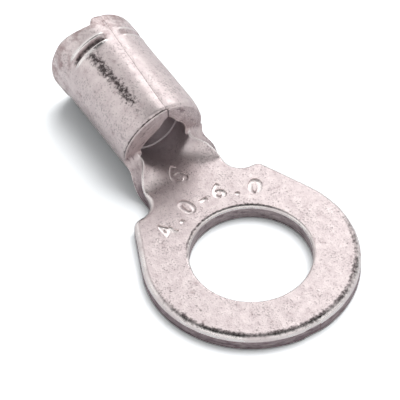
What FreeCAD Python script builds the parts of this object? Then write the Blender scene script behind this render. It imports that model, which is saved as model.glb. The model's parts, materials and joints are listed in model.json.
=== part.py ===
import FreeCAD
import Part
import math
import os

# Non-insulated ring terminal for a 6 mm or quarter inch stud and a 4 to 6 square millimetre wire.
# One strip of tin-plated copper is stamped flat, rolled into a barrel at one end, and brazed along the seam.
# The underside lies on z = 0, the stud hole's axis is Z, and the barrel runs along +X. All sizes are in mm.

# Sheet
sheet_thickness = 0.98
die_roll_radius = 0.32

# Ring tongue
stud_hole_diameter = 6.73
stud_hole_top_radius = 0.19
tongue_diameter = 11.96
side_taper = 23.7
shoulder_corner_radius = 0.6
shoulder_land = 0.07
cut_off_tab_width = 1.0
cut_off_tab_depth = 0.05

# Neck, which starts flat and curls up into the barrel
neck_width = 5.1
neck_corner_radius = 1.1
neck_edge_radius = 0.12
neck_flat_length = 0.42
neck_bend_lead_in = 0.25
neck_bend_length = 1.1
neck_bend_sections = 5
wing_setback = 0.17
wing_foot_angle = 83.0
wing_corner_sections = 4

# Barrel
wire_bore_diameter = 3.3
barrel_length = 8.5
mouth_lean = 0.47
rear_outer_radius = 0.3
wire_entry_chamfer = 0.22

# Serrations rolled into the bore, which bite the strands when the barrel is crimped
serration_count = 3
serration_start = 1.2
serration_pitch = 1.7
serration_width = 0.5
serration_depth = 0.1

# Brazed seam along the top, which wanders a little to one side
seam_width = 0.3
seam_depth = 0.12
seam_front_angle = 0.0
seam_rear_angle = -15.0

# Two grooves pressed into the barrel, one on each side of the seam, each deepest at its middle
groove_from_rear = 1.75
groove_depth = 0.2
groove_section_radius = 0.3
groove_middle_angle = 44.0
groove_half_span = 42.0

# Sizes across the terminal that follow from those above
bore_radius = wire_bore_diameter / 2
barrel_radius = bore_radius + sheet_thickness
barrel_mean_radius = (bore_radius + barrel_radius) / 2
tongue_radius = tongue_diameter / 2
neck_half_width = neck_width / 2
wing_corner_radius = barrel_mean_radius * math.radians(wing_foot_angle) - neck_half_width

# Places along the terminal, each from the one before it, starting where the tapered side meets the ring
taper_turn = math.radians(90 - side_taper)
shoulder_reach = shoulder_corner_radius * math.tan(taper_turn / 2)
shoulder_half_width = neck_half_width + neck_corner_radius + shoulder_land + shoulder_reach
shoulder_drop = tongue_radius * math.sin(taper_turn) - shoulder_half_width
shoulder_x = tongue_radius * math.cos(taper_turn) + shoulder_drop * math.tan(taper_turn)
neck_flat_end = shoulder_x + neck_corner_radius + neck_flat_length
neck_bend_start = neck_flat_end + neck_bend_lead_in
wing_front = neck_bend_start + neck_bend_length + wing_setback
barrel_front = wing_front - mouth_lean
terminal_reach = barrel_front + barrel_length

UP = FreeCAD.Vector(0, 0, 1)
ALONG = FreeCAD.Vector(1, 0, 0)
AXIS_POINT = FreeCAD.Vector(0, 0, barrel_radius)
TOLERANCE = 1e-6
SEAM_OVERRUN = 0.05


def vec(x, y, z=0.0):
    return FreeCAD.Vector(x, y, z)


def arc(a, b, c):
    return Part.Arc(a, b, c).toShape()


def line(a, b):
    return Part.LineSegment(a, b).toShape()


def polar(radius, angle, centre=FreeCAD.Vector(0, 0, 0)):
    return centre + vec(radius * math.cos(angle), radius * math.sin(angle))


def tongue_side():
    """The +Y side of the flat outline as named points, from the ring round to the end of the flat neck."""
    tangent_point = polar(tongue_radius, taper_turn)

    # The rounded shoulder turns from the tapered side to the square back edge
    shoulder_end = vec(shoulder_x, shoulder_half_width - shoulder_reach)
    centre = shoulder_end - vec(shoulder_corner_radius, 0)
    shoulder_start = polar(shoulder_corner_radius, taper_turn, centre)
    shoulder_middle = polar(shoulder_corner_radius, taper_turn / 2, centre)

    # The hollow corner turns from the back edge into the neck
    hollow_centre = vec(shoulder_x + neck_corner_radius, neck_half_width + neck_corner_radius)
    hollow_start = hollow_centre - vec(neck_corner_radius, 0)
    hollow_middle = polar(neck_corner_radius, math.radians(225), hollow_centre)
    hollow_end = hollow_centre - vec(0, neck_corner_radius)
    neck_end = vec(neck_flat_end, neck_half_width)
    return [tangent_point, shoulder_start, shoulder_middle, shoulder_end,
            hollow_start, hollow_middle, hollow_end, neck_end]


def side_edges(points):
    (tangent_point, shoulder_start, shoulder_middle, shoulder_end,
     hollow_start, hollow_middle, hollow_end, neck_end) = points
    return [
        line(tangent_point, shoulder_start),
        arc(shoulder_start, shoulder_middle, shoulder_end),
        line(shoulder_end, hollow_start),
        arc(hollow_start, hollow_middle, hollow_end),
        line(hollow_end, neck_end),
    ]


def tongue_outline():
    near = tongue_side()
    far = [vec(p.x, -p.y) for p in near]
    ring = arc(near[0], vec(-tongue_radius, 0), far[0])
    end = line(far[-1], near[-1])
    edges = side_edges(near) + [end] + side_edges(far) + [ring]
    return Part.Wire(Part.__sortEdges__(edges))


def on_top_rim(edge):
    """Whether a blank's edge lies on the top of its outline, and isn't where the neck goes on."""
    box = edge.BoundBox
    return box.ZMin > sheet_thickness - TOLERANCE and box.XMin < neck_flat_end - TOLERANCE


def make_tongue():
    """The flat blank: ring, shoulders and flat neck, with the rolled top edge that the die leaves."""
    blank = Part.Face(tongue_outline()).extrude(UP * sheet_thickness)
    return blank.makeFillet(die_roll_radius, [e for e in blank.Edges if on_top_rim(e)])


def make_stud_hole():
    """The cutter for the stud hole, with the drawn-in edge at the top."""
    radius = stud_hole_diameter / 2
    roll = stud_hole_top_radius
    shoulder = sheet_thickness - roll
    middle = vec(radius + roll * (1 - math.cos(math.pi / 4)), 0, shoulder + roll * math.sin(math.pi / 4))
    profile = Part.Wire([
        line(vec(0, 0, -sheet_thickness), vec(radius, 0, -sheet_thickness)),
        line(vec(radius, 0, -sheet_thickness), vec(radius, 0, shoulder)),
        arc(vec(radius, 0, shoulder), middle, vec(radius + roll, 0, sheet_thickness)),
        line(vec(radius + roll, 0, sheet_thickness), vec(radius + roll, 0, 2 * sheet_thickness)),
        line(vec(radius + roll, 0, 2 * sheet_thickness), vec(0, 0, 2 * sheet_thickness)),
        line(vec(0, 0, 2 * sheet_thickness), vec(0, 0, -sheet_thickness)),
    ])
    return Part.Face(profile).revolve(vec(0, 0), UP, 360)


def make_tab_stub():
    """The cutter for the notch at the tip, where the terminal was sheared from its carrier strip."""
    depth = cut_off_tab_depth
    corner = vec(-tongue_radius - depth, -cut_off_tab_width / 2, -sheet_thickness)
    return Part.makeBox(2 * depth, cut_off_tab_width, 3 * sheet_thickness, corner)


def bent(x, along, height, neutral_radius):
    """A point of the strip, given along its width and up through its thickness, once it is curled to a radius."""
    if math.isinf(neutral_radius):
        return vec(x, along, height)
    outside = neutral_radius + sheet_thickness / 2
    angle = along / neutral_radius
    return vec(x, (outside - height) * math.sin(angle), outside - (outside - height) * math.cos(angle))


def neck_section(x, half_width, neutral_radius):
    """The neck's cross section at x: a strip with a rolled top edge, curled up to a radius."""
    along = (x - neck_flat_end) / (wing_front - neck_flat_end)
    roll = die_roll_radius + (neck_edge_radius - die_roll_radius) * along
    w, t = half_width, sheet_thickness
    cut_back = roll * (1 - math.sqrt(0.5))

    def at(along, height):
        return bent(x, along, height, neutral_radius)

    def across(start, end, height):
        if math.isinf(neutral_radius):
            return line(at(start, height), at(end, height))
        return arc(at(start, height), at(0, height), at(end, height))

    return Part.Wire([
        across(-w, w, 0),
        line(at(w, 0), at(w, t - roll)),
        arc(at(w, t - roll), at(w - cut_back, t - cut_back), at(w - roll, t)),
        across(w - roll, roll - w, t),
        arc(at(roll - w, t), at(cut_back - w, t - cut_back), at(-w, t - roll)),
        line(at(-w, t - roll), at(-w, 0)),
    ])


def neck_neutral_radius(x):
    """How tightly the neck is curled at x: flat at first, then eased to the barrel's own curve."""
    along = min(max((x - neck_bend_start) / neck_bend_length, 0.0), 1.0)
    eased = along * along * (3 - 2 * along)
    return barrel_mean_radius / eased if eased > 0 else math.inf


def make_neck():
    """The stretch where the neck curls up, and where its edges turn outward into the front of the wings."""
    sections = [neck_section(neck_flat_end, neck_half_width, math.inf)]
    plain_length = wing_front - wing_corner_radius - neck_bend_start
    for i in range(neck_bend_sections):
        x = neck_bend_start + i / neck_bend_sections * plain_length
        sections.append(neck_section(x, neck_half_width, neck_neutral_radius(x)))
    for i in range(wing_corner_sections + 1):
        turn = i / wing_corner_sections * math.pi / 2
        x = wing_front - wing_corner_radius * (1 - math.sin(turn))
        half_width = neck_half_width + wing_corner_radius * (1 - math.cos(turn))
        sections.append(neck_section(x, half_width, neck_neutral_radius(x)))
    return Part.makeLoft(sections, True, False)


def wall_profile():
    """The barrel's wall below its axis, cut lengthwise: serrated bore, chamfered wire entry, rounded rear edge."""
    front = barrel_front - mouth_lean
    inner, outer, rear = -bore_radius, -barrel_radius, terminal_reach
    points = [vec(front, 0, inner)]
    for i in range(serration_count):
        start = barrel_front + serration_start + i * serration_pitch
        end = start + serration_width
        cut = inner - serration_depth
        points += [vec(start, 0, inner), vec(start, 0, cut), vec(end, 0, cut), vec(end, 0, inner)]
    points += [vec(rear - wire_entry_chamfer, 0, inner), vec(rear, 0, inner - wire_entry_chamfer)]
    points += [vec(rear, 0, outer + rear_outer_radius)]

    round_end = vec(rear - rear_outer_radius, 0, outer)
    drop = rear_outer_radius * (1 - math.sqrt(0.5))
    edges = [line(a, b) for a, b in zip(points, points[1:])]
    edges += [arc(points[-1], vec(rear - drop, 0, outer + drop), round_end)]
    edges += [line(round_end, vec(front, 0, outer)), line(vec(front, 0, outer), points[0])]
    return Part.Wire(edges)


def make_barrel():
    """The rolled tube, up to the mouth that its two wings leave open at the front."""
    tube = Part.Face(wall_profile()).revolve(vec(0, 0), ALONG, 360)
    tube.translate(AXIS_POINT)
    return tube.cut(make_mouth_cutter())


def make_mouth_cutter():
    """What the wings' front edges leave clear, seen from the side: upright up to the neck, then leaning forward."""
    front = barrel_front - 2 * mouth_lean
    top = 2 * barrel_radius
    wing_foot = barrel_radius - bore_radius * math.cos(math.radians(wing_foot_angle))
    outline = [
        vec(front, 0, top + mouth_lean),
        vec(barrel_front, 0, top + mouth_lean),
        vec(barrel_front, 0, top),
        vec(wing_front, 0, wing_foot),
        vec(wing_front, 0, -sheet_thickness),
        vec(front, 0, -sheet_thickness),
    ]
    cutter = Part.Face(Part.makePolygon(outline + outline[:1]))
    cutter.translate(vec(0, -2 * barrel_radius))
    return cutter.extrude(vec(0, 4 * barrel_radius))


def on_barrel(x, radius, angle_from_top):
    """A point at a radius from the barrel's axis, by its angle from the top towards +Y."""
    turn = math.radians(angle_from_top)
    return AXIS_POINT + vec(x, radius * math.sin(turn), radius * math.cos(turn))


def make_seam():
    """The cutter for the shallow V along the barrel, where the two rolled edges meet under the braze."""
    start = on_barrel(barrel_front, barrel_radius, seam_front_angle)
    end = on_barrel(terminal_reach, barrel_radius, seam_rear_angle)
    middle_angle = (seam_front_angle + seam_rear_angle) / 2
    root = vec(0, 0, -seam_depth)
    left = vec(0, -seam_width, seam_depth)
    right = vec(0, seam_width, seam_depth)
    section = Part.Face(Part.makePolygon([root, left, right, root]))
    section.rotate(vec(0, 0), ALONG, -middle_angle)
    overrun = (end - start) * SEAM_OVERRUN
    section.translate(start - overrun)
    return section.extrude(end - start + overrun * 2)


def make_groove(side):
    """The cutter for one pressed groove: a ring set off centre, so that it cuts deepest at its middle angle."""
    fade = math.cos(math.radians(groove_half_span))
    offset = groove_depth / (1 - fade)
    inner_radius = barrel_radius - groove_depth + offset
    centre = on_barrel(terminal_reach - groove_from_rear, -offset, side * groove_middle_angle)
    return Part.makeTorus(inner_radius + groove_section_radius, groove_section_radius, centre, ALONG)


def make_terminal():
    tongue = make_tongue().cut(make_stud_hole()).cut(make_tab_stub())
    body = tongue.fuse([make_neck(), make_barrel()]).removeSplitter()
    return body.cut(make_seam()).cut([make_groove(side) for side in (-1, 1)])


def main():
    os.makedirs("parts", exist_ok=True)
    terminal = make_terminal()
    box = terminal.BoundBox
    print("valid:", terminal.isValid(), "solids:", len(terminal.Solids))
    print("size:", round(box.XLength, 3), round(box.YLength, 3), round(box.ZLength, 3))
    print("low corner:", round(box.XMin, 3), round(box.YMin, 3), round(box.ZMin, 3))
    print("volume:", round(terminal.Volume, 3))
    terminal.Solids[0].exportStep("parts/ring_terminal.step")


main()
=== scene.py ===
# %% [markdown]
# # A ring terminal, from blank to barrel
# The real terminal is one strip of copper. A press stamps it flat, marks it, curls one end into a barrel
# and tins it. It could be joined here from a tube and a washer, but then the curled neck between them would
# have to be faked. So the script works as the press does: it cuts a flat blank, rounds its edges, and rolls
# the flat mesh up.

import json
import math

import bmesh
import bpy
from mathutils import Matrix, Vector

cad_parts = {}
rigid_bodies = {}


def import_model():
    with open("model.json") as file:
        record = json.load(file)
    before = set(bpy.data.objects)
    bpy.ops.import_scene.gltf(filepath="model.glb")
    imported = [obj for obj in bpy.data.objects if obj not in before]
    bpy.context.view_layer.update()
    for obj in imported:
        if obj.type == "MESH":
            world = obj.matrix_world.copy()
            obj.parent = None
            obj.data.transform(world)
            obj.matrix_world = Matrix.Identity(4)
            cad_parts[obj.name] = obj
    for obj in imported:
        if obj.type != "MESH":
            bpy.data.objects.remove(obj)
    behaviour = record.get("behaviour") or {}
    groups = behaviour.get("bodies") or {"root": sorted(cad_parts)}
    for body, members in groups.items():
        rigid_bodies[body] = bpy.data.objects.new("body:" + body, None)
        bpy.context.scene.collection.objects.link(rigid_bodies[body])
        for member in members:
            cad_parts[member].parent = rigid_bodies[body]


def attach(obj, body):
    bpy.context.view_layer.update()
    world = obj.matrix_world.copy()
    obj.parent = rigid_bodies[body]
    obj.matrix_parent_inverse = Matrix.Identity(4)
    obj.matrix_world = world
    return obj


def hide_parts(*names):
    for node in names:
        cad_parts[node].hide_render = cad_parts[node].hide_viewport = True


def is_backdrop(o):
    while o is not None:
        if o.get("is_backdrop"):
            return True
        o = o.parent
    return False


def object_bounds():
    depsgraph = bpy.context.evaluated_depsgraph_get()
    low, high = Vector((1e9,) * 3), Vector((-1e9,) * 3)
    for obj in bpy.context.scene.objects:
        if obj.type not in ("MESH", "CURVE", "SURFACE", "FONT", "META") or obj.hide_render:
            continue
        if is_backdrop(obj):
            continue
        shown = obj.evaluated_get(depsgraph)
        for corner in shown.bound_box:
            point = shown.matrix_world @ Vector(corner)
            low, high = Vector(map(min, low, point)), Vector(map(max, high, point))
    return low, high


for leftover in list(bpy.data.objects):
    bpy.data.objects.remove(leftover)
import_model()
cad_low, cad_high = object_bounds()
MM = 0.001
print("the frame is", [round(c / MM, 2) for c in cad_high - cad_low], "mm")

# %% [markdown]
# ## The camera
# The photograph was taken from high on the tongue's left with a long lens. These values were solved from
# the edges of the hole, the ring and the barrel. The lens's axis passed beside the stud hole, so the camera
# is first aimed at the hole and then turned by the smallest turn that puts the hole's centre at its own
# place in the picture.

# %% Camera
PICTURE = 400
FOCAL_PIXELS = 2605.9
SENSOR = 36.0
HOLE_PIXEL = (251.1, 264.2)
AZIMUTH, ELEVATION = math.radians(-123.49), math.radians(49.57)
DISTANCE = 142.04 * MM

back = Vector((math.sin(AZIMUTH) * math.cos(ELEVATION),
               -math.cos(AZIMUTH) * math.cos(ELEVATION),
               math.sin(ELEVATION)))
right = Vector((math.cos(AZIMUTH), math.sin(AZIMUTH), 0))
up = back.cross(right)
across = (PICTURE / 2 - HOLE_PIXEL[0]) / FOCAL_PIXELS
upward = (HOLE_PIXEL[1] - PICTURE / 2) / FOCAL_PIXELS
aim = (-back + right * across + up * upward).normalized()
turn = (-back).rotation_difference(aim).to_matrix()
facing = turn @ Matrix((right, up, back)).transposed()

camera_data = bpy.data.cameras.new("camera")
camera_data.sensor_width = SENSOR
camera_data.lens = FOCAL_PIXELS / PICTURE * SENSOR
camera_data.clip_start, camera_data.clip_end = 10 * MM, 2000 * MM
camera = bpy.data.objects.new("camera", camera_data)
camera.matrix_world = Matrix.Translation(back * DISTANCE) @ facing.to_4x4()
bpy.context.scene.collection.objects.link(camera)
bpy.context.scene.camera = camera
print("lens", round(camera_data.lens, 1), "mm")

# %% [markdown]
# ## The blank's outline
# The blank is symmetric, so only the half on the +Y side is drawn, as one flat face, and mirrored later.
# Each round stretch is a vertex that is spun about a centre, which draws an arc that meets its neighbours
# exactly. X runs from the stud hole to the barrel. Across, a place is measured along the middle of the
# sheet's thickness, because that layer keeps its length when the sheet is bent. At the tip a short flat is
# left by the shears that parted the terminal from its carrier strip.

# %% Sizes of the blank, in millimetres
SHEET = 0.98
HOLE_RADIUS = 3.365
RING_RADIUS = 5.98
SIDE_TAPER = math.radians(23.7)
SHOULDER_RADIUS = 0.6
SHOULDER_LAND = 0.07
NECK_HALF = 2.55
NECK_RADIUS = 1.1
NECK_STRAIGHT = 0.67
CURL_LENGTH = 1.1
CURL_LEAD = 0.6
WING_SETBACK = 0.17
WING_FOOT = math.radians(83)
BORE_RADIUS = 1.65
TIP_HALF = 0.5
TIP_DEPTH = 0.05
REAR = cad_high.x / MM

middle_radius = BORE_RADIUS + SHEET / 2
outer_radius = BORE_RADIUS + SHEET
wing_corner = middle_radius * WING_FOOT - NECK_HALF
taper_turn = math.pi / 2 - SIDE_TAPER
shoulder_reach = SHOULDER_RADIUS * math.tan(taper_turn / 2)
shoulder_half = NECK_HALF + NECK_RADIUS + SHOULDER_LAND + shoulder_reach
shoulder_x = RING_RADIUS * math.cos(taper_turn)
shoulder_x += (RING_RADIUS * math.sin(taper_turn) - shoulder_half) * math.tan(taper_turn)
curl_start = shoulder_x + NECK_RADIUS + NECK_STRAIGHT
curl_end = curl_start + CURL_LENGTH
wing_front = curl_end + WING_SETBACK
wing_reach = math.pi * middle_radius
print("neck curls from", round(curl_start, 2), "to", round(curl_end, 2), "wings reach", round(wing_reach, 2))


# %% Draw the outline
ARC_STEP = math.radians(3)


def arc(bm, start, centre, degrees):
    """Draws an arc on from a vertex, round a centre, and returns its last vertex."""
    angle = math.radians(degrees)
    steps = max(2, round(abs(angle) / ARC_STEP))
    spun = bmesh.ops.spin(bm, geom=[start], cent=(*centre, 0), axis=(0, 0, 1), angle=angle, steps=steps)
    return next(g for g in spun["geom_last"] if isinstance(g, bmesh.types.BMVert))


def run(bm, start, x, y, pieces=1):
    """Draws a straight run on from a vertex and returns its last vertex."""
    first = start.co.copy()
    for i in range(pieces):
        end = bm.verts.new(first.lerp(Vector((x, y, 0)), (i + 1) / pieces))
        bm.edges.new((start, end))
        start = end
    return start


blank = bmesh.new()
tip = blank.verts.new((TIP_DEPTH - RING_RADIUS, 0, 0))
pen = run(blank, tip, TIP_DEPTH - RING_RADIUS, TIP_HALF)
tip_turn = math.asin(TIP_HALF / RING_RADIUS)
pen = run(blank, pen, -RING_RADIUS * math.cos(tip_turn), TIP_HALF)
pen = arc(blank, pen, (0, 0), math.degrees(taper_turn - math.pi + tip_turn))
shoulder_y = shoulder_half - shoulder_reach
shoulder_centre = Vector((shoulder_x - SHOULDER_RADIUS, shoulder_y))
pen = run(blank, pen, shoulder_centre.x + SHOULDER_RADIUS * math.cos(taper_turn),
          shoulder_centre.y + SHOULDER_RADIUS * math.sin(taper_turn), pieces=6)
pen = arc(blank, pen, shoulder_centre, -math.degrees(taper_turn))
pen = run(blank, pen, shoulder_x, NECK_HALF + NECK_RADIUS)
pen = arc(blank, pen, (shoulder_x + NECK_RADIUS, NECK_HALF + NECK_RADIUS), 90)
pen = run(blank, pen, wing_front - wing_corner, NECK_HALF, pieces=10)
pen = arc(blank, pen, (wing_front - wing_corner, NECK_HALF + wing_corner), 90)
pen = run(blank, pen, wing_front, wing_reach)
pen = run(blank, pen, REAR, wing_reach)
pen = run(blank, pen, REAR, 0)
pen = run(blank, pen, HOLE_RADIUS, 0)
pen = arc(blank, pen, (0, 0), 180)
blank.edges.new((pen, tip))
bmesh.ops.remove_doubles(blank, verts=blank.verts, dist=1e-5)
bmesh.ops.contextual_create(blank, geom=blank.edges[:])
print("outline of", len(blank.verts), "points,", len(blank.faces), "face")

# %% [markdown]
# ## Thickness and edges
# A punch draws the metal down as it enters, so the top of a stamped edge is rounded and the bottom stays
# sharp. Round the ring the rounding is broad. Along the neck and the wings it is small, because the curling
# tools press those edges square again. One bevel width would miss that, so each edge gets a weight of its
# own by where it lies, and one Bevel modifier reads them all.

# %% Give the blank its thickness
for face in blank.faces:
    if face.normal.z < 0:
        face.normal_flip()
bmesh.ops.solidify(blank, geom=blank.faces[:], thickness=SHEET)
low = min(v.co.z for v in blank.verts)
bmesh.ops.translate(blank, verts=blank.verts, vec=(0, 0, -low))
NEAR = 1e-4


def open_edges(bm):
    """How many edges don't join just two faces."""
    return sum(1 for e in bm.edges if not e.is_manifold)


inner_walls = [f for f in blank.faces if all(abs(v.co.y) < NEAR for v in f.verts)]
bmesh.ops.delete(blank, geom=inner_walls, context="FACES")
print("half blank:", len(blank.faces), "faces, z", round(min(v.co.z for v in blank.verts), 3), "to",
      round(max(v.co.z for v in blank.verts), 3))

# %% Weigh the edges
DIE_ROLL = 0.34
NECK_ROLL = 0.1
EDGE_RADII = {"hole top": 0.19, "mouth inside": 0.12, "rear inside": 0.22, "seam inside": 0.05,
              "ring bottom": 0.1, "mouth outside": 0.05, "rear outside": 0.28, "seam outside": 0.008}


def ease(value):
    """Goes from 0 to 1 with a soft start and end."""
    value = min(max(value, 0.0), 1.0)
    return value * value * (3 - 2 * value)


def edge_radius(edge):
    """How far an outline edge is rounded, or 0 for edges that stay as they are."""
    a, b = (v.co for v in edge.verts)
    if abs(a.z - b.z) > NEAR or (abs(a.y) < NEAR and abs(b.y) < NEAR and abs(a.x - b.x) > NEAR):
        return 0.0
    middle = (a + b) / 2
    top = middle.z > SHEET / 2
    if math.hypot(middle.x, middle.y) < HOLE_RADIUS + 0.1:
        return EDGE_RADII["hole top" if top else "ring bottom"]
    if middle.x > REAR - NEAR:
        return EDGE_RADII["rear inside" if top else "rear outside"]
    if middle.y > wing_reach - NEAR:
        return EDGE_RADII["seam inside" if top else "seam outside"]
    if middle.x > curl_end - wing_corner:
        return EDGE_RADII["mouth inside" if top else "mouth outside"]
    if not top:
        return EDGE_RADII["ring bottom"]
    return DIE_ROLL + (NECK_ROLL - DIE_ROLL) * ease((middle.x - shoulder_x - 0.5) / 1.3)


weights = blank.edges.layers.float.new("bevel_weight_edge")
for edge in blank.edges:
    if edge.is_manifold:
        edge[weights] = edge_radius(edge) / DIE_ROLL


# %% Bevel by weight
def to_object(bm, name):
    mesh = bpy.data.meshes.new(name)
    bm.to_mesh(mesh)
    obj = bpy.data.objects.new(name, mesh)
    bpy.context.scene.collection.objects.link(obj)
    return obj


def with_modifiers(obj):
    """A bmesh of an object with its modifiers applied. The object itself is removed."""
    evaluated = obj.evaluated_get(bpy.context.evaluated_depsgraph_get())
    bm = bmesh.new()
    bm.from_mesh(evaluated.to_mesh())
    evaluated.to_mesh_clear()
    bpy.data.objects.remove(obj)
    return bm


rounding_piece = to_object(blank, "blank")
rounding = rounding_piece.modifiers.new("edges", "BEVEL")
rounding.limit_method = "WEIGHT"
rounding.width = DIE_ROLL
rounding.segments = 5
rounding.use_clamp_overlap = False
blank = with_modifiers(rounding_piece)
for vertex in blank.verts:
    vertex.co.y = min(vertex.co.y, wing_reach)
    vertex.co.z = min(max(vertex.co.z, 0.0), SHEET)
print("rounded blank:", len(blank.faces), "faces")

# %% [markdown]
# The half is now rounded, and mirroring it makes the whole blank. The two halves share the vertices on the
# middle line, so they join as one skin.

# %% Mirror the half
bmesh.ops.mirror(blank, geom=blank.verts[:] + blank.edges[:] + blank.faces[:], axis="Y", merge_dist=NEAR)
bmesh.ops.recalc_face_normals(blank, faces=blank.faces)
print("whole blank:", len(blank.faces), "faces, open edges", open_edges(blank))

# %% [markdown]
# ## The stamped sizes
# The press marks the flat tongue with the sizes of stud and wire, before anything is curled. Only plain
# numbers are stamped here. They could be a bump in the material, but a real stamp has walls that catch the
# light, so each character is a solid with rounded strokes that a Boolean takes out of the blank.

# %% Stamp the numbers
STAMP_DEPTH = 0.13
STAMP_ROUNDING = 0.06
STAMP_BOLDER = 0.012
CAPITAL_SHARE = 0.7
STAMP_HEIGHT = 1.1
ARC_RADIUS = 4.78
ARC_TEXT = "4.0-6.0"
ARC_FROM, ARC_TO = math.radians(38), math.radians(-36)


def stamp(character, x, y, turned, height):
    """A solid character, ready to be cut into the top of the sheet."""
    curve = bpy.data.curves.new("stamp", "FONT")
    curve.body = character
    curve.align_x, curve.align_y = "CENTER", "CENTER"
    curve.size = height / CAPITAL_SHARE
    curve.offset = STAMP_BOLDER
    curve.extrude = STAMP_DEPTH * 0.5
    curve.bevel_depth = STAMP_ROUNDING
    curve.bevel_resolution = 1
    text = bpy.data.objects.new("stamp", curve)
    bpy.context.scene.collection.objects.link(text)
    bpy.context.view_layer.update()
    bm = with_modifiers(text)
    place = Matrix.Translation((x, y, SHEET + 0.02)) @ Matrix.Rotation(turned, 4, "Z")
    bmesh.ops.transform(bm, matrix=place, verts=bm.verts)
    bmesh.ops.remove_doubles(bm, verts=bm.verts, dist=1e-5)
    return bm


stamps = bmesh.new()
placed = [("6", 6.95, 0.3, -math.pi / 2, 1.4)]
for i, character in enumerate(ARC_TEXT):
    polar = ARC_FROM + (ARC_TO - ARC_FROM) * i / (len(ARC_TEXT) - 1)
    placed.append((character, ARC_RADIUS * math.cos(polar), ARC_RADIUS * math.sin(polar), polar - math.pi / 2,
                   STAMP_HEIGHT))
for character, x, y, turned, height in placed:
    single = stamp(character, x, y, turned, height)
    mesh = bpy.data.meshes.new("stamp")
    single.to_mesh(mesh)
    stamps.from_mesh(mesh)
print("stamps:", len(stamps.faces), "faces, open edges", open_edges(stamps))
stamp_piece = to_object(stamps, "stamps")
blank_piece = to_object(blank, "blank")
cutting = blank_piece.modifiers.new("stamps", "BOOLEAN")
cutting.operation = "DIFFERENCE"
cutting.solver = "EXACT"
cutting.use_self = True
cutting.object = stamp_piece
blank = with_modifiers(blank_piece)
bpy.data.objects.remove(stamp_piece)
bmesh.ops.remove_doubles(blank, verts=blank.verts, dist=1e-5)
bmesh.ops.holes_fill(blank, edges=[e for e in blank.edges if e.is_boundary], sides=12)
print("stamped blank:", len(blank.faces), "faces, open edges", open_edges(blank))

# %% [markdown]
# ## Slices
# A flat face can't bend, so the blank is sliced wherever it will curve. The slices run across the tongue,
# close together at the curl and at the pressed groove, and along the barrel every few degrees of its turn.

# %% Slice the blank
GROOVE_CENTRE = REAR - 1.75
GROOVE_HALF = 0.45
FIRST_SERRATION = 1.2
SERRATION_PITCH = 1.7
SERRATION_WIDTH = 0.5
WING_LEAN = 0.47
barrel_front = wing_front - WING_LEAN


def spaced(start, end, step):
    count = max(1, round((end - start) / step))
    return [start + (end - start) * i / count for i in range(count)]


slices_x = spaced(shoulder_x + 0.6, curl_start - CURL_LEAD, 0.25)
slices_x += spaced(curl_start - CURL_LEAD, wing_front, 0.07)
slices_x += spaced(wing_front, wing_front + 0.3, 0.04)
slices_x += spaced(wing_front + 0.3, wing_front + 0.9, 0.1)
slices_x += spaced(wing_front + 0.9, GROOVE_CENTRE - GROOVE_HALF, 0.22)
slices_x += spaced(GROOVE_CENTRE - GROOVE_HALF, GROOVE_CENTRE + GROOVE_HALF, 0.04)
slices_x += spaced(GROOVE_CENTRE + GROOVE_HALF, REAR, 0.12)
slices_y = spaced(0.1, NECK_HALF + wing_corner, 0.16)
slices_y += spaced(NECK_HALF + wing_corner, wing_reach, 0.13)
slices_y += [-place for place in slices_y]
serration_starts = [barrel_front + FIRST_SERRATION + i * SERRATION_PITCH for i in range(3)]
for start in serration_starts:
    for place in (start, start + SERRATION_WIDTH):
        slices_x += [place - 0.02, place + 0.02]


def slice_all(bm, places, normal, beyond):
    """Cuts what lies beyond a place along X by planes, so that the flat ring isn't sliced."""
    for place in places:
        faces = [f for f in bm.faces if max(v.co.x for v in f.verts) > beyond]
        corners = list({v for f in faces for v in f.verts})
        sides = list({e for f in faces for e in f.edges})
        bmesh.ops.bisect_plane(bm, geom=corners + sides + faces, dist=1e-5,
                               plane_co=normal * place, plane_no=normal)


slice_all(blank, sorted(slices_x), Vector((1, 0, 0)), shoulder_x)
slice_all(blank, sorted(slices_y), Vector((0, 1, 0)), shoulder_x + 0.8)
print("sliced blank:", len(blank.faces), "faces, open edges", open_edges(blank))

# %% [markdown]
# ## What the press did to each face
# The finish isn't the same all over: the flat top is satin, the drawn edge is burnished, and the sheared
# wall is torn and dull. That shows in which way a face looks while the sheet is still flat, so it is noted
# now, as numbers on the mesh that the material reads later. Afterwards the faces of the barrel look in
# every direction.

# %% Note the sheared and the drawn faces
sheared = blank.faces.layers.float.new("sheared")
drawn = blank.faces.layers.float.new("drawn")
bore_side = blank.faces.layers.float.new("bore_side")
UPRIGHT, LEVEL = 0.05, 0.98
MOUTH_TORN = 0.25
HOLE_TORN = 0.75
# the stamps count as drawn faces, with the drawn edge's lower roughness and its lighter tin, partly a painted
# highlight
STRUCK_POLISH = 0.8
blank.normal_update()
for face in blank.faces:
    middle = face.calc_center_median()
    tilt = abs(face.normal.z)
    radius = math.hypot(middle.x, middle.y)
    on_edge = radius < HOLE_RADIUS + 0.25 or radius > RING_RADIUS - 0.5 or middle.x > curl_start
    rounded = UPRIGHT <= tilt < LEVEL and on_edge and middle.z > SHEET / 2
    struck = not on_edge and SHEET - 0.2 < middle.z < SHEET - 0.01
    near_mouth = ease((middle.x - curl_start + 0.3) / (wing_front - 0.1 - curl_start))
    wall = 1.0 if middle.x > REAR - 1 else 1 - (1 - MOUTH_TORN) * near_mouth
    wall = HOLE_TORN if radius < HOLE_RADIUS + 0.1 else wall
    face[sheared] = wall if tilt < UPRIGHT and on_edge else 0.0
    face[drawn] = 1.0 if rounded else STRUCK_POLISH if struck else 0.0
    face[bore_side] = 1.0 if face.normal.z > 0.9 and middle.x > wing_front - 0.6 else 0.0
for layer in (sheared, drawn, bore_side):
    print(layer.name, sum(1 for f in blank.faces if f[layer]), "faces")

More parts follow.
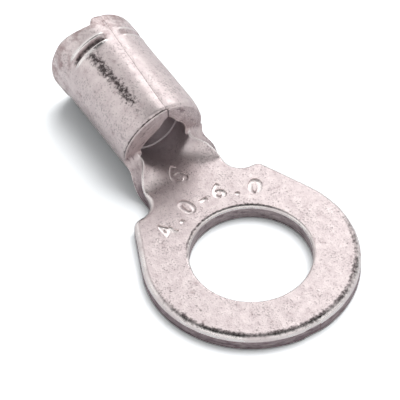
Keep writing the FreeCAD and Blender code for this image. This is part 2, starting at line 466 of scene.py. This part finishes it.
# %% [markdown]
# ## Rolling the barrel
# Curling tools wrap the strip round a pin. Here each vertex is wrapped round the barrel's axis by one
# formula: its distance across the blank becomes an angle, and its height in the sheet becomes a distance
# from the axis. In the neck the curl eases in from nothing, so the flat sheet turns into a trough and then
# a tube. No terminal comes off the tools quite true. This one's barrel sits a fifth of a millimetre to one
# side of the ring at its mouth and runs back to the middle, its seam wanders, and at the rear end one side
# of the seam stops short, which leaves a notch.

# %% Roll the blank
LEAN_FADE = 1.6
SEAM_WANDER = math.radians(15)
SIDE_SHIFT = 0.19
DRIFT_FROM, DRIFT_TO, DRIFT_LATER = 7.1, 8.5, 0.5
DRIFT_BACK_FROM, DRIFT_BACK_LENGTH = 9.0, 6.2
REAR_STEP = 0.42
REAR_NOTCH = math.radians(176)
NOTCH_SIDE, NOTCH_SHARP, NOTCH_LENGTH = 0.9, 0.09, 0.8


def curl_at(x):
    """How far the sheet is curled at a place: 0 is flat and 1 is the barrel's own curve."""
    return ease((x - curl_start + CURL_LEAD) / (CURL_LENGTH + CURL_LEAD))


def side_drift(x, across):
    """How far the tools left the metal to the +Y side at a place. The -Y side of the neck follows later."""
    start = DRIFT_FROM - DRIFT_LATER * min(max(across / 1.5, -1.0), 1.0)
    back = min(max((x - DRIFT_BACK_FROM) / DRIFT_BACK_LENGTH, 0.0), 1.0)
    return ease((x - start) / (DRIFT_TO - start)) * (SIDE_SHIFT - SIDE_SHIFT * back)


def rolled(point, press):
    """Where a point of the flat blank goes. press says how far the tools push it to the axis."""
    x, across, height = point
    curl = curl_at(x)
    if curl < NEAR:
        return Vector((x, across + side_drift(x, across), height))
    neutral = middle_radius / curl
    angle = across / neutral
    along = min(max((x - barrel_front) / (REAR - barrel_front), 0.0), 1.0)
    lean = max(0.0, math.cos(WING_FOOT) - math.cos(angle)) / (1 + math.cos(WING_FOOT))
    pushed = press(x, angle, height)
    angle += SEAM_WANDER * along * (angle / math.pi) ** 2
    moved = x - WING_LEAN * lean * (1 - ease((x - wing_front) / LEAN_FADE))
    if angle > 0:
        pulled = ease((angle - REAR_NOTCH + NOTCH_SIDE) / NOTCH_SIDE)
        pulled *= 1 - ease((angle - REAR_NOTCH) / NOTCH_SHARP)
        moved -= REAR_STEP * pulled * ease((x - REAR + NOTCH_LENGTH) / NOTCH_LENGTH)
    radius = neutral + SHEET / 2 - height - pushed
    return Vector((moved, radius * math.sin(angle) + side_drift(moved, across),
                   neutral + SHEET / 2 - radius * math.cos(angle)))


# %% [markdown]
# ## What is pressed into the barrel
# Two short grooves are pressed in from above, one on each side of the seam. They are deep and narrow where
# the tool bit and run out as a faint crease. Behind them the metal bulges a little. Inside, three
# serrations bite the strands. At the mouth the wings are pinched towards each other, which leaves a pointed
# arch, and the shears left a fine crease along their outer edge. All of it is one function that says how
# far each place is pushed in.

# %% Press the groove, the pinch and the serrations
GROOVE_DEPTH = 0.3
SLOT_HALF = 0.17
SLOT_ARC, CREASE_ARC = (9, 7, 50, 14), (40, 10, 92, 14)
LIP_HEIGHT, LIP_AWAY, LIP_HALF = 0.06, 0.31, 0.1
CREASE_DEPTH, CREASE_HALF = 0.035, 0.12
SERRATION_DEPTH = 0.1
PINCH = 0.42
PINCH_LENGTH = 1.0
ARCH_PEAK = 0.4
ARCH_PEAK_HALF = 16
ARCH_SPAN, ARCH_FULLNESS = 118, 0.6
EDGE_CREASE, EDGE_CREASE_AT, EDGE_CREASE_HALF = 0.09, 0.14, 0.06
BULGE = 0.09
SEAM_CREASE, SEAM_CREASE_HALF = 0.045, 4.5


def span(value, start, fade_in, end, fade_out):
    """Is 1 between two places and fades to 0 outside them."""
    return ease((value - start) / fade_in) * (1 - ease((value - end) / fade_out))


def groove(x, from_top):
    """The groove's depth at so many degrees from the top: a slot with lips, and a crease that runs on."""
    reach = span(from_top, *SLOT_ARC)
    beyond = span(from_top, *CREASE_ARC)
    away = x - GROOVE_CENTRE
    slot = GROOVE_DEPTH * math.exp(-(away / SLOT_HALF) ** 4)
    lips = LIP_HEIGHT * math.exp(-((abs(away) - LIP_AWAY) / LIP_HALF) ** 2)
    return reach * (slot - lips) + beyond * CREASE_DEPTH * math.exp(-(away / CREASE_HALF) ** 2)


def press(x, angle, height):
    """How far a place of the barrel is pushed to the axis. The height is its own in the sheet."""
    from_top = math.degrees(math.pi - abs(angle))
    inner = height / SHEET
    depth = groove(x, from_top) * (1 - 0.5 * inner)
    depth -= BULGE * math.sin(angle) ** 2 * ease((x - GROOVE_CENTRE - 0.2) / 0.5)
    depth += SEAM_CREASE * math.exp(-(from_top / SEAM_CREASE_HALF) ** 2) * (1 - inner)
    behind = max(0.0, 1 - (x - wing_front) / PINCH_LENGTH)
    arch = max(0.0, math.sin(math.pi * min((from_top + 4) / ARCH_SPAN, 1.0))) ** ARCH_FULLNESS
    if x > wing_front - NEAR:
        depth += PINCH * arch * behind ** 2 * (0.4 + 0.6 * inner)
        depth -= ARCH_PEAK * inner * math.exp(-(from_top / ARCH_PEAK_HALF) ** 2) * behind ** 2
        off_crease = (x - wing_front - EDGE_CREASE_AT) / EDGE_CREASE_HALF
        depth += EDGE_CREASE * (1 - inner) ** 2 * math.exp(-off_crease ** 2)
    if height > SHEET - NEAR:
        if any(start < x < start + SERRATION_WIDTH for start in serration_starts):
            depth -= SERRATION_DEPTH
    return depth


# %% [markdown]
# Each vertex now moves to its rolled place. Before it moves, it notes how deep the groove is there and how
# high it lies in the sheet, because the material needs both; the groove's depth and a line along the mouth's
# outer crease become painted shade there. Where the two sides of the seam meet, the walls between them are
# taken out and the edges joined, as the brazing does.

# %% Roll every vertex and close the seam
# painted shade: the material darkens the noted groove and mouth crease, fully on the +Y side and less on the
# -Y side
PLUS_Y_SHADE, MINUS_Y_SHADE = 1.0, 0.4
terminal = blank
pressed = terminal.verts.layers.float.new("pressed")
sheet_height = terminal.verts.layers.float.new("sheet_height")
seam_walls = [f for f in terminal.faces if all(abs(v.co.y) > wing_reach - NEAR for v in f.verts)]
flat_places = {v: v.co.copy() for v in terminal.verts}
for vertex in terminal.verts:
    x, across, height = vertex.co
    vertex[sheet_height] = height / SHEET
    if x > wing_front and height < SHEET / 2:
        from_top = 180 - math.degrees(abs(across) / middle_radius)
        side = PLUS_Y_SHADE if across > 0 else MINUS_Y_SHADE
        vertex[pressed] = side * min(max(1.6 * groove(x, from_top) / GROOVE_DEPTH, -0.2), 1.0)
        # painted shade: a dark line along the mouth's outer crease
        vertex[pressed] += side * 1.2 * math.exp(-((x - wing_front - 0.12) / 0.06) ** 2)
    vertex.co = rolled(vertex.co, press)
bmesh.ops.delete(terminal, geom=seam_walls, context="FACES")
seam_verts = [v for v in terminal.verts if abs(flat_places[v].y) > wing_reach - 0.03]
bmesh.ops.remove_doubles(terminal, verts=seam_verts, dist=4e-4)
bmesh.ops.recalc_face_normals(terminal, faces=terminal.faces)
print("open edges", open_edges(terminal))
extents = [[f(v.co[i] for v in terminal.verts) for f in (min, max)] for i in range(3)]
print("rolled size", [round(high - low, 2) for low, high in extents])

# %% [markdown]
# ## The finished piece
# The terminal is one piece of metal, so it is one object. Its curves should look smooth and its sheared
# edges crisp: edges that turn more than 35 degrees are marked sharp, and weighted normals keep the large
# flat faces even.

# %% Make the piece
bmesh.ops.scale(terminal, verts=terminal.verts, vec=(MM, MM, MM))
for face in terminal.faces:
    face.smooth = True
piece = to_object(terminal, "tinned_terminal")
piece.data.set_sharp_from_angle(angle=math.radians(35))
evening = piece.modifiers.new("even shading", "WEIGHTED_NORMAL")
evening.keep_sharp = True
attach(piece, "root")
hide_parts("ring_terminal")
print("piece of", len(piece.data.polygons), "faces")

# %% [markdown]
# ## Materials
# Node materials take many lines when every link is written out. Three helpers shorten that: one turns a hex
# colour to linear light, one adds a node with its links and values, and one starts an empty material.

# %% Helpers for materials
def srgb(code):
    """A colour written as sRGB hex, turned to the linear values that the shader works in."""
    values = [int(code[i:i + 2], 16) / 255 for i in (1, 3, 5)]
    return [v / 12.92 if v <= 0.04045 else ((v + 0.055) / 1.055) ** 2.4 for v in values] + [1.0]


def add(tree, kind, links=(), values=(), **properties):
    """Adds a node with its properties, its sockets' values, and links into its sockets, by name or number."""
    node = tree.nodes.new(kind)
    for name, value in properties.items():
        setattr(node, name, value)
    for socket, value in dict(values).items():
        node.inputs[socket].default_value = value
    for socket, output in dict(links).items():
        tree.links.new(output, node.inputs[socket])
    return node


def new_material(name):
    material = bpy.data.materials.new(name)
    material.use_nodes = True
    material.node_tree.nodes.clear()
    return material, material.node_tree


# %% [markdown]
# ## The tin plate
# The strip is copper with a matte electroplated tin. Tin is a pale metal with a faint warm tone, and matte
# plating leaves fine grains, so it looks satin: it shows a broad glow and no clear picture of the room.
# Handling and the tools leave dark specks. Where the die drew the edge down, the tin is burnished and
# mirrors more sharply. Where the sheet was sheared, bare copper was plated thinly over torn metal, so that
# wall is dull and brownish. One material could be put on each kind of face, but the finish should run on
# over the edges, so this is one material that reads the numbers noted on the faces.

# %% Tin plate: grain, specks and tone
# pale warm tin, its dimmer clouds and its dark specks
TIN, TIN_DIM, SPECK = "#EBDFDE", "#D9CBCC", "#66575B"
# the sheared wall, where it is smooth and where it is torn
TORN_LIGHT, TORN_DARK = "#BCADB0", "#86747A"
# the drawn edge's lighter tin (partly painted highlight), one dark for the scuff's dirt and the painted
# shade, the bore's painted shade, and the stain at the rear
BURNISHED_HIGHLIGHT, DIRT_AND_SHADE, BORE_SHADE, STAIN = "#F4EEEC", "#33292B", "#CFC6C8", "#94706E"
# the clouds in the plating, and the patches where more specks crowd
MOTTLE_SIZE, PATCH_SIZE = 0.5 * MM, 1.1 * MM
# the specks, the pits of the scuff and the tears of the sheared wall
SPECK_SIZE, PIT_SIZE, TEAR_SIZE = 0.11 * MM, 0.2 * MM, 0.5 * MM

tin, tree = new_material("matte_tin_plate")
place = add(tree, "ShaderNodeTexCoord").outputs["Object"]
parts = add(tree, "ShaderNodeSeparateXYZ", {0: place}).outputs
noted = {name: add(tree, "ShaderNodeAttribute", attribute_name=name).outputs["Fac"]
         for name in ("sheared", "drawn", "pressed", "sheet_height", "bore_side")}
mottle = add(tree, "ShaderNodeTexNoise", {"Vector": place},
             {"Scale": 1 / MOTTLE_SIZE, "Detail": 5.0, "Roughness": 0.7})
tone = add(tree, "ShaderNodeMapRange", {0: mottle.outputs[0]}, {1: 0.35, 2: 0.68})
grain = add(tree, "ShaderNodeTexNoise", {"Vector": place},
            {"Scale": 1 / SPECK_SIZE, "Detail": 2.0, "Roughness": 0.6})
patch = add(tree, "ShaderNodeTexNoise", {"Vector": place}, {"Scale": 1 / PATCH_SIZE, "Detail": 3.0})
crowd = add(tree, "ShaderNodeMapRange", {0: patch.outputs[0]}, {1: 0.38, 2: 0.66, 3: -0.04, 4: 0.1})
grain_here = add(tree, "ShaderNodeMath", {0: grain.outputs[0], 1: crowd.outputs[0]}, operation="ADD")
speck = add(tree, "ShaderNodeMapRange", {0: grain_here.outputs[0]}, {1: 0.58, 2: 0.8, 4: 0.6})
base = add(tree, "ShaderNodeMix", {0: tone.outputs[0]}, {6: srgb(TIN), 7: srgb(TIN_DIM)}, data_type="RGBA")
base = add(tree, "ShaderNodeMix", {0: speck.outputs[0], 6: base.outputs[2]}, {7: srgb(SPECK)},
           data_type="RGBA")
print("tin plate nodes so far:", len(tree.nodes))

# %% [markdown]
# A long scuff of dark pits runs along the barrel, where a tool dragged on the plating, and a brownish stain
# sits at the rear. The scuff follows a line on the cylinder, so its mask is made from the angle round the
# barrel's axis.

# %% Tin plate: scuff and stain
SCUFF_ANGLE, SCUFF_HALF = 0.5, 0.2
lowered = add(tree, "ShaderNodeMath", {0: parts["Z"]}, {1: outer_radius * MM}, operation="SUBTRACT")
turned = add(tree, "ShaderNodeMath", {0: parts["Y"], 1: lowered.outputs[0]}, operation="ARCTAN2")
off_line = add(tree, "ShaderNodeMath", {0: turned.outputs[0]}, {1: SCUFF_ANGLE}, operation="SUBTRACT")
off_line = add(tree, "ShaderNodeMath", {0: off_line.outputs[0]}, operation="ABSOLUTE")
near_line = add(tree, "ShaderNodeMapRange", {0: off_line.outputs[0]},
                {1: 0.0, 2: SCUFF_HALF, 3: 1.0, 4: 0.0})
front_end = add(tree, "ShaderNodeMapRange", {0: parts["X"]}, {1: 9.0 * MM, 2: 10.0 * MM})
rear_end = add(tree, "ShaderNodeMapRange", {0: parts["X"]}, {1: 14.2 * MM, 2: 15.0 * MM, 3: 1.0, 4: 0.0})
ends = add(tree, "ShaderNodeMath", {0: front_end.outputs[0], 1: rear_end.outputs[0]}, operation="MULTIPLY")
streak = add(tree, "ShaderNodeMath", {0: near_line.outputs[0], 1: ends.outputs[0]}, operation="MULTIPLY")
outside = add(tree, "ShaderNodeMath", {1: noted["bore_side"]}, {0: 1.0}, operation="SUBTRACT")
streak = add(tree, "ShaderNodeMath", {0: streak.outputs[0], 1: outside.outputs[0]}, operation="MULTIPLY")
pits = add(tree, "ShaderNodeTexNoise", {"Vector": place},
           {"Scale": 1 / PIT_SIZE, "Detail": 4.0, "Roughness": 0.7})
pitted = add(tree, "ShaderNodeMath", {0: streak.outputs[0], 2: pits.outputs[0]}, {1: 0.32},
             operation="MULTIPLY_ADD")
scuff = add(tree, "ShaderNodeMapRange", {0: pitted.outputs[0]}, {1: 0.62, 2: 0.82, 4: 0.85})
base = add(tree, "ShaderNodeMix", {0: scuff.outputs[0], 6: base.outputs[2]}, {7: srgb(DIRT_AND_SHADE)},
           data_type="RGBA")
rearward = add(tree, "ShaderNodeMapRange", {0: parts["X"]}, {1: 14.2 * MM, 2: 16.6 * MM, 4: 0.22})
stained = add(tree, "ShaderNodeMath", {0: mottle.outputs[0], 1: rearward.outputs[0]}, operation="ADD")
stain = add(tree, "ShaderNodeMapRange", {0: stained.outputs[0]}, {1: 0.6, 2: 0.82, 4: 0.6})
base = add(tree, "ShaderNodeMix", {0: stain.outputs[0], 6: base.outputs[2]}, {7: srgb(STAIN)},
           data_type="RGBA")
print("tin plate nodes so far:", len(tree.nodes))

# %% [markdown]
# Shade is painted dark into the pressed grooves and along the mouth's outer crease, round the hole's edge on
# the barrel's side, and into the ring's outline where the flat turns down into the drawn edge, on the tip's
# side. The ring is round, so that line's mask comes from the distance to its centre. The bore is painted
# greyer further in, and the drawn edges, the stamps and the groove's lips get a lighter tin, partly a
# painted highlight.

# %% Tin plate: what the press did, painted shade and highlight
layer = add(tree, "ShaderNodeMath", {0: noted["sheet_height"]}, {1: 2.6 * SHEET * MM}, operation="MULTIPLY")
tears = add(tree, "ShaderNodeTexNoise", {"Vector": place, "W": layer.outputs[0]},
            {"Scale": 1 / TEAR_SIZE, "Detail": 4.0, "Roughness": 0.65}, noise_dimensions="4D")
torn_tone = add(tree, "ShaderNodeMapRange", {0: tears.outputs[0]}, {1: 0.36, 2: 0.64})
torn = add(tree, "ShaderNodeMix", {0: torn_tone.outputs[0]},
           {6: srgb(TORN_DARK), 7: srgb(TORN_LIGHT)}, data_type="RGBA")
base = add(tree, "ShaderNodeMix", {0: noted["sheared"], 6: base.outputs[2], 7: torn.outputs[2]},
           data_type="RGBA")
torn_part = add(tree, "ShaderNodeMapRange", {0: noted["sheared"]}, {1: 0.05, 2: 0.25, 4: 1.0})
ridge = add(tree, "ShaderNodeMapRange", {0: tears.outputs[0]}, {1: 0.44, 2: 0.36, 4: 0.6})
ridge = add(tree, "ShaderNodeMath", {0: ridge.outputs[0], 1: torn_part.outputs[0]}, operation="MULTIPLY")
base = add(tree, "ShaderNodeMix", {0: ridge.outputs[0], 6: base.outputs[2]}, {7: srgb(TORN_DARK)},
           data_type="RGBA")
# partly painted highlight: drawn edges, stamps and the groove's lips get a lighter tin as well as their real
# burnish
rubbed = add(tree, "ShaderNodeMapRange", {0: patch.outputs[0]}, {1: 0.35, 2: 0.6, 3: 0.2, 4: 0.9})
polish_and_highlight = add(tree, "ShaderNodeMath", {0: noted["drawn"], 1: rubbed.outputs[0]}, operation="MULTIPLY")
lips = add(tree, "ShaderNodeMapRange", {0: noted["pressed"]}, {1: -0.02, 2: -0.12})
polish_and_highlight = add(tree, "ShaderNodeMath", {0: polish_and_highlight.outputs[0], 1: lips.outputs[0]}, operation="MAXIMUM")
base = add(tree, "ShaderNodeMix", {0: polish_and_highlight.outputs[0], 6: base.outputs[2]}, {7: srgb(BURNISHED_HIGHLIGHT)},
           data_type="RGBA")
# painted shade: a dark line where the ring's flat turns down into the drawn edge, only on the tip's side, and
# one round the hole's edge on the barrel's side
flat_place = add(tree, "ShaderNodeCombineXYZ", {0: parts["X"], 1: parts["Y"]})
from_centre = add(tree, "ShaderNodeVectorMath", {0: flat_place.outputs[0]}, operation="LENGTH")
off_ring_edge_line = add(tree, "ShaderNodeMath", {0: from_centre.outputs["Value"]},
               {1: (RING_RADIUS - DIE_ROLL + 0.07) * MM},
               operation="SUBTRACT")
off_ring_edge_line = add(tree, "ShaderNodeMath", {0: off_ring_edge_line.outputs[0]}, operation="ABSOLUTE")
ring_edge_shade = add(tree, "ShaderNodeMapRange", {0: off_ring_edge_line.outputs[0]},
           {1: 0.08 * MM, 2: 0.26 * MM, 3: 1.0, 4: 0.0})
tip_side = add(tree, "ShaderNodeMapRange", {0: parts["X"]}, {1: -1.5 * MM, 2: 2.0 * MM, 3: 1.0, 4: 0.0})
streaky = add(tree, "ShaderNodeMapRange", {0: patch.outputs[0]}, {1: 0.32, 2: 0.58, 3: 0.6, 4: 1.0})
ring_edge_shade = add(tree, "ShaderNodeMath", {0: ring_edge_shade.outputs[0], 1: streaky.outputs[0]}, operation="MULTIPLY")
ring_edge_shade = add(tree, "ShaderNodeMath", {0: ring_edge_shade.outputs[0], 1: tip_side.outputs[0]}, operation="MULTIPLY")
off_hole_rim = add(tree, "ShaderNodeMath", {0: from_centre.outputs["Value"]}, {1: (HOLE_RADIUS + 0.15) * MM},
              operation="SUBTRACT")
off_hole_rim = add(tree, "ShaderNodeMath", {0: off_hole_rim.outputs[0]}, operation="ABSOLUTE")
hole_rim_shade = add(tree, "ShaderNodeMapRange", {0: off_hole_rim.outputs[0]}, {1: 0.02 * MM, 2: 0.13 * MM, 3: 1.0, 4: 0.0})
barrel_side = add(tree, "ShaderNodeMapRange", {0: parts["X"]}, {1: 0.5 * MM, 2: 2.5 * MM})
hole_rim_shade = add(tree, "ShaderNodeMath", {0: hole_rim_shade.outputs[0], 1: barrel_side.outputs[0]}, operation="MULTIPLY")
edge_line_shades = add(tree, "ShaderNodeMath", {0: hole_rim_shade.outputs[0], 1: ring_edge_shade.outputs[0]}, operation="MAXIMUM")
# painted shade: the grooves, the mouth's crease line and the two edge lines are darkened, broken up by the
# pits
shaded_places = add(tree, "ShaderNodeMath", {0: noted["pressed"], 1: edge_line_shades.outputs[0]}, operation="MAXIMUM")
pitted_shade = add(tree, "ShaderNodeMath", {0: shaded_places.outputs[0], 2: pits.outputs[0]}, {1: 0.46},
                  operation="MULTIPLY_ADD")
painted_shade = add(tree, "ShaderNodeMapRange", {0: pitted_shade.outputs[0]}, {1: 0.7, 2: 1.0, 4: 0.85})
base = add(tree, "ShaderNodeMix", {0: painted_shade.outputs[0], 6: base.outputs[2]}, {7: srgb(DIRT_AND_SHADE)},
           data_type="RGBA")
# painted shade: the bore turns greyer the further into the barrel it lies
deeper_in = add(tree, "ShaderNodeMapRange", {0: parts["X"]},
             {1: (curl_start + 0.3) * MM, 2: (wing_front + 1.0) * MM})
inside = add(tree, "ShaderNodeMath", {0: noted["bore_side"], 1: deeper_in.outputs[0]}, operation="MULTIPLY")
base = add(tree, "ShaderNodeMix", {0: inside.outputs[0], 6: base.outputs[2]}, {7: srgb(BORE_SHADE)},
           data_type="RGBA")
print("tin plate nodes so far:", len(tree.nodes))

# %% [markdown]
# Tin is a metal, so colour alone doesn't make it: the sharpness of what it mirrors does. The satin part
# scatters more than the drawn edge, and less than the torn wall. Grain, tears and the scuff's pits are far
# smaller than a mesh could show, so they are a bump, about a hundredth of a millimetre high.

# %% Tin plate: roughness and relief
satin = add(tree, "ShaderNodeMapRange", {0: mottle.outputs[0]}, {1: 0.3, 2: 0.7, 3: 0.4, 4: 0.5})
rough = add(tree, "ShaderNodeMix", {0: polish_and_highlight.outputs[0], 2: satin.outputs[0]}, {3: 0.2})
rough = add(tree, "ShaderNodeMix", {0: noted["sheared"], 2: rough.outputs[0]}, {3: 0.5})
rough = add(tree, "ShaderNodeMath", {0: scuff.outputs[0], 2: rough.outputs[0]}, {1: 0.3},
            operation="MULTIPLY_ADD")

relief = add(tree, "ShaderNodeMath", {0: tears.outputs[0], 1: torn_part.outputs[0]}, operation="MULTIPLY")
relief = add(tree, "ShaderNodeMath", {0: relief.outputs[0], 2: grain.outputs[0]}, {1: 9.0},
             operation="MULTIPLY_ADD")
relief = add(tree, "ShaderNodeMath", {0: scuff.outputs[0], 2: relief.outputs[0]}, {1: -2.5},
             operation="MULTIPLY_ADD")
bump = add(tree, "ShaderNodeBump", {"Height": relief.outputs[0]}, {"Strength": 0.6, "Distance": 0.02 * MM})
surface = {"Base Color": base.outputs[2], "Roughness": rough.outputs[0], "Normal": bump.outputs[0]}
shader = add(tree, "ShaderNodeBsdfPrincipled", surface, {"Metallic": 1.0})
add(tree, "ShaderNodeOutputMaterial", {"Surface": shader.outputs[0]})
piece.data.materials.append(tin)
print("tin plate has", len(tree.nodes), "nodes")

# %% [markdown]
# ## Floor and light
# The terminal lies on white paper. The key light is broad and high, behind on the right, so the shadow
# falls softly towards the lower left. The paper is lit dimly, so that the shadow stays clear, and the
# camera sees its light four times over, which makes it white without any more light on the metal. Metal
# sees it twice over.

# %% Floor
floor_mesh = bmesh.new()
bmesh.ops.create_grid(floor_mesh, x_segments=1, y_segments=1, size=600 * MM)
floor = to_object(floor_mesh, "floor")
floor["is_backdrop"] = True
paper, tree = new_material("white_paper")
plain = add(tree, "ShaderNodeBsdfDiffuse", values={"Color": srgb("#F2F4F6")})
times = {1: plain}
for total, half in ((2, 1), (4, 2)):
    times[total] = add(tree, "ShaderNodeAddShader", {0: times[half].outputs[0],
                       1: times[total - half].outputs[0]})
path = add(tree, "ShaderNodeLightPath")
mirrored = add(tree, "ShaderNodeMixShader", {0: path.outputs["Is Glossy Ray"], 1: times[1].outputs[0],
                                             2: times[2].outputs[0]})
choose = add(tree, "ShaderNodeMixShader", {0: path.outputs["Is Camera Ray"], 1: mirrored.outputs[0],
                                           2: times[4].outputs[0]})
add(tree, "ShaderNodeOutputMaterial", {"Surface": choose.outputs[0]})
floor.data.materials.append(paper)
print("paper is seen", max(times), "times over by the camera")

# %% [markdown]
# Metal mostly shows what is around it. So the room that it mirrors has bright walls, a little dimmer near
# the floor, and a dim ceiling, which darkens the start of the drawn edge. A white card stands where the
# flat ring looks, and lights nothing else. The room's own light on the paper is low, and the camera sees
# white behind everything.

# %% World and lamps
world = bpy.data.worlds.new("studio")
world.use_nodes = True
tree = world.node_tree
tree.nodes.clear()
path = add(tree, "ShaderNodeLightPath")
room = add(tree, "ShaderNodeBackground", values={"Color": srgb("#FFFFFF"), "Strength": 0.18})
way = add(tree, "ShaderNodeSeparateXYZ", {0: add(tree, "ShaderNodeTexCoord").outputs["Generated"]})
ceiling = add(tree, "ShaderNodeMapRange", {0: way.outputs["Z"]}, {1: 0.66, 2: 0.94, 3: 1.0, 4: 0.15})
foot = add(tree, "ShaderNodeMapRange", {0: way.outputs["Z"]}, {1: 0.0, 2: 0.35, 3: 0.6, 4: 1.0})
walls = add(tree, "ShaderNodeMath", {0: ceiling.outputs[0], 1: foot.outputs[0]}, operation="MULTIPLY")
tent = add(tree, "ShaderNodeBackground", {"Strength": walls.outputs[0]}, {"Color": srgb("#FFFFFF")})
white = add(tree, "ShaderNodeBackground", values={"Color": srgb("#FFFFFF"), "Strength": 1.0})
mirrored = add(tree, "ShaderNodeMixShader", {0: path.outputs["Is Glossy Ray"], 1: room.outputs[0],
               2: tent.outputs[0]})
chosen = add(tree, "ShaderNodeMixShader", {0: path.outputs["Is Camera Ray"], 1: mirrored.outputs[0],
                                           2: white.outputs[0]})
add(tree, "ShaderNodeOutputWorld", {"Surface": chosen.outputs[0]})
bpy.context.scene.world = world


def softbox(name, azimuth, elevation, distance, size, power):
    """A square lamp that faces the object, placed by the direction it shines from."""
    a, e = math.radians(azimuth), math.radians(elevation)
    place = Vector((math.sin(a) * math.cos(e), -math.cos(a) * math.cos(e), math.sin(e))) * distance
    data = bpy.data.lights.new(name, "AREA")
    data.size, data.energy = size, power
    lamp = bpy.data.objects.new(name, data)
    lamp.matrix_world = Matrix.Translation(place) @ place.to_track_quat("Z", "Y").to_matrix().to_4x4()
    bpy.context.scene.collection.objects.link(lamp)
    return lamp


key = softbox("key", azimuth=29, elevation=57, distance=300 * MM, size=290 * MM, power=0.38)
key.visible_glossy = False
card = softbox("white card", azimuth=42, elevation=46, distance=300 * MM, size=170 * MM, power=0.135)
card.visible_diffuse = False
bpy.context.scene.cycles.caustics_reflective = False
bpy.context.scene.view_settings.view_transform = "Standard"
print("lamps:", key.name, "and", card.name)

# %% [markdown]
# ## Sizes
# The last cell prints the size of this scene in millimetres, as the first cell printed the size of the
# solids, so that the two can be compared.

# %% Print the size and finish
low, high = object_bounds()
print("visual", [round(c / MM, 2) for c in high - low], "mm")
